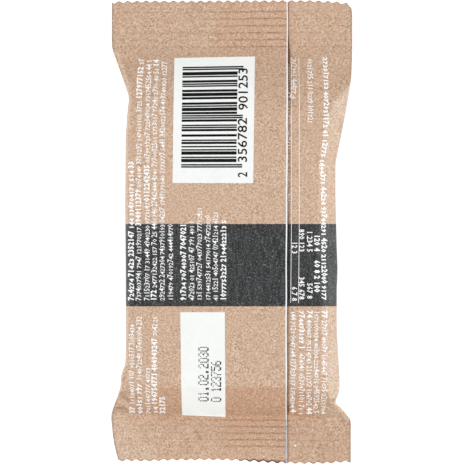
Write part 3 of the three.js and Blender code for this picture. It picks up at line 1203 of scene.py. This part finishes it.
# Set numbers of the table, and where each starts
tableNumbers = [
    ("120 4", "bold", 22.95, -0.8), ("60 8 2 100", "bold", 22.95, -7.8),
    ("1.234 5", "table", 20.95, 0.25), ("567 8", "table", 20.95, -14.0),
    ("890 123", "table", 18.75, 0.7), ("345 678", "table", 18.75, -12.3),
    ("12 3", "table", 16.8, -2.7), ("6.7 8", "table", 16.8, -15.0),
]
# These rows are half under the fin, and show only past its edge
hiddenRows = [("thin", 15.05, (46.5, 29.5)), ("thin", 14.8, (27.5, 8.0))]
hiddenGap = 0.12                 # and they start this far from the lip
rules = {
    "x": (16.15, 18.28), "from": -19.0, "to": 47.7, "width": 0.14,
    "step": 0.8, "overlap": 0.1,
    "lean": -0.2, "leanZone": (2, -18),
}


# One digit as a flat shape: its height is 1 and it stands on the base line
def digitShape(digit, weight):
    measured = takeShape(textMesh("0", weight, smallPrint["roundness"]))[0]
    low, tall = measured[:, 1].min(), np.ptp(measured[:, 1])
    piece = textMesh(digit, weight, smallPrint["roundness"])
    cutAcross(piece, 1, low + tall * np.array(smallPrint["cuts"]))
    editAll(piece, bpy.ops.mesh.quads_convert_to_tris)
    points, faces = takeShape(piece)
    middle = (points[:, 0].min() + points[:, 0].max()) / 2
    return (points - (middle, low)) / tall, faces


# Marks for digits along a row: style, digit, place of its foot, height and the way that it reads.
# Without a text, the digits are drawn by chance
def digitRow(style, xs, ys, text=None):
    look = smallPrint[style]
    xs = np.broadcast_to(xs, len(ys))
    reads = 1 if ys[-1] > ys[0] else -1          # up or down the pack
    length = abs(ys[-1] - ys[0])
    marks = []

    def addDigit(style, digit, along, stretch):
        y = ys[0] + reads * along
        x = np.interp(reads * y, [reads * place for place in ys], xs) + reads * look["height"] / 2
        marks.append((style, digit, x, y, smallPrint[style]["height"] * stretch, reads))

    along = look["pitch"] / 2
    if text:
        for digit in text:
            if digit != " ":
                addDigit(style, digit, along, smallPrint["tall"])
            along += look["pitch"] * (1 if digit.isdigit() else smallPrint["stop"])
        return marks
    while along < length:
        isStrong = random.random() < smallPrint["strongShare"]
        styleHere = "bold" if isStrong else style
        for _ in range(random.randint(smallPrint["shortest"], smallPrint["longest"])):
            isTall = isStrong or random.random() < smallPrint["tallShare"]
            if along < length:
                digit = random.choice(smallPrint["digits"])
                addDigit(styleHere, digit, along, smallPrint["tall"] if isTall else 1)
            along += smallPrint[styleHere]["pitch"]
        along += look["gap"]
    return marks


# Copies each digit's shape to all of its places
def stampDigits(name, style, marks):
    look = smallPrint[style]
    pieces = []
    for digit in sorted({mark[1] for mark in marks}):
        shape, shapeFaces = digitShape(digit, look["weight"])
        x, y, height, reads = np.array([mark[2:] for mark in marks if mark[1] == digit]).T[:, :, None]
        points = np.stack([
            x - reads * height * shape[None, :, 1],
            y + reads * look["height"] * smallPrint["wide"] * shape[None, :, 0],
        ], 2)
        pieces.append(stampCopies(name, points, shapeFaces))
    return joinPieces(pieces, name)


# Thin lines between the table's rows
def makeRules():
    step, stepFaces = takeShape(addObject(bpy.ops.mesh.primitive_plane_add, size=1))
    along = np.arange(rules["from"], rules["to"], rules["step"])
    places = [(x + rules["lean"] * ramp(y, *rules["leanZone"]), y) for x in rules["x"] for y in along]
    points = np.array(places)[:, None] + step[None] * (rules["width"], rules["step"] + rules["overlap"])
    return stampCopies("rules", points, stepFaces)


def makeSmallPrint(name, rows, setNumbers=()):
    marks = []
    for style, xs, ys in rows:
        marks += digitRow(style, xs, ys)
    for text, style, x, y in setNumbers:
        marks += digitRow(style, x, (y, y - 1), text)
    styles = sorted({mark[0] for mark in marks})
    pieces = [stampDigits(name, style, [mark for mark in marks if mark[0] == style]) for style in styles]
    return joinPieces(pieces, name)


# White flecks on the film: place and radius
flecks = [
    (17.3, -58.8, 0.28), (-5.9, 53.5, 0.2), (-11.1, 53.8, 0.15), (-6.1, 51.3, 0.13), (11.5, -29.8, 0.2),
    (11.5, -54.3, 0.15), (13.1, -56.5, 0.14), (7.1, -58.4, 0.13), (8.7, -61.8, 0.15), (11.2, -42.2, 0.13),
    (-26.8, 57.6, 0.12), (-21.0, 55.6, 0.11), (22.0, -54.6, 0.11), (10.7, -31.4, 0.12), (11.9, -28.2, 0.12),
    (10.9, -33.0, 0.11),
]
fleckSides = 7


# The rows beside the fin are cut off at the lip
def makeHiddenPrint():
    piece = makeSmallPrint("print_beside_fin", hiddenRows)
    shownFrom = (fin["edge"] + fin["lip"] + hiddenGap) * mm
    editAll(piece, bpy.ops.mesh.bisect, plane_co=(shownFrom, 0, 0), plane_no=(1, 0, 0), clear_inner=True)
    return piece


def makeRightPrint():
    tablePrint = makeSmallPrint("table_rows", rightRows, tableNumbers)
    return joinPieces([tablePrint, makeRules()], "small_print_right")


panelPatches = [flatPatch(panel, (0, 1), (0, 1)) for panel in panels]
printPieces = [
    printOn(joinPieces(panelPatches, "white_panels"), panelInk),
    printOn(makeBarCode(), blackInk, 2),
    printOn(stampDots("date_code", dateCode["dotSides"], dotPlaces()), dateInk, 2),
    printOn(makeSmallPrint("small_print_left", leftRows), whiteInk),
    printOn(makeRightPrint(), whiteInk),
    printOn(makeHiddenPrint(), whiteInk, overFin=False),
    printOn(stampDots("flecks", fleckSides, np.array(flecks)), whiteInk),
]
print("print:", sum(len(piece.data.polygons) for piece in printPieces), "faces")

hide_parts("wrapped_bar")
for piece in [film, finSeal] + printPieces:
    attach(piece, "root")


studio = {
    "frameWidth": 127.6,      # what the camera sees across, at the seals
    "lens": 250.0,
    "sensor": 36.0,
    "aim": (-0.08, -0.11),
    "sky": 0.3,
    "floorSize": 4.0,
    "floor": ((0.7, 0.7, 0.7, 1), (0.714, 0.714, 0.714, 1)),
    "floorGrain": 0.05,       # blobs for each millimetre
    "floorRoughness": 0.8,
    "floorGlow": 0.6,
}
# Soft lights: direction towards the light, distance, width, and power in watts
lamps = {
    "rightLight": ((1.7, -0.05, 1.0), 1.2, 0.7, 13.4),
    "leftLight": ((-1.7, -0.05, 1.0), 1.2, 0.7, 11.4),
}


def makeFloor():
    floor = addObject(bpy.ops.mesh.primitive_plane_add, size=studio["floorSize"])
    floor.name = "floor"
    material, shader = newMaterial("paleTable")
    tone = noise(material, millimetres(material), studio["floorGrain"])
    setInputs(material, shader, {
        "Base Color": mixColours(material, tone, *studio["floor"]),
        "Roughness": studio["floorRoughness"],
        "Emission Color": (1, 1, 1, 1),
        "Emission Strength": studio["floorGlow"],
    })
    floor.data.materials.append(material)


def makeLights():
    world = bpy.data.worlds.new("studio")
    world.use_nodes = True
    sky = {"Color": (1, 1, 1, 1), "Strength": studio["sky"]}
    setInputs(world, world.node_tree.nodes["Background"], sky)
    bpy.context.scene.world = world
    for name, (towards, distance, width, power) in lamps.items():
        lamp = addObject(bpy.ops.object.light_add, type="AREA")
        lamp.name = name
        direction = np.array(towards) / np.linalg.norm(towards)
        lamp.location = direction * distance
        lamp.rotation_euler = lamp.location.to_track_quat("Z", "Y").to_euler()
        lamp.data.size = width
        lamp.data.energy = power


def makeCamera():
    away = studio["frameWidth"] * studio["lens"] / studio["sensor"] + pack["sealZ"]
    place = np.array([*studio["aim"], away]) * mm
    camera = addObject(bpy.ops.object.camera_add, location=place)
    camera.data.lens = studio["lens"]
    camera.data.sensor_width = studio["sensor"]
    bpy.context.scene.camera = camera


makeFloor()
makeLights()
makeCamera()
bpy.context.scene.view_settings.view_transform = "Standard"
print("studio ready")

bpy.context.view_layer.update()
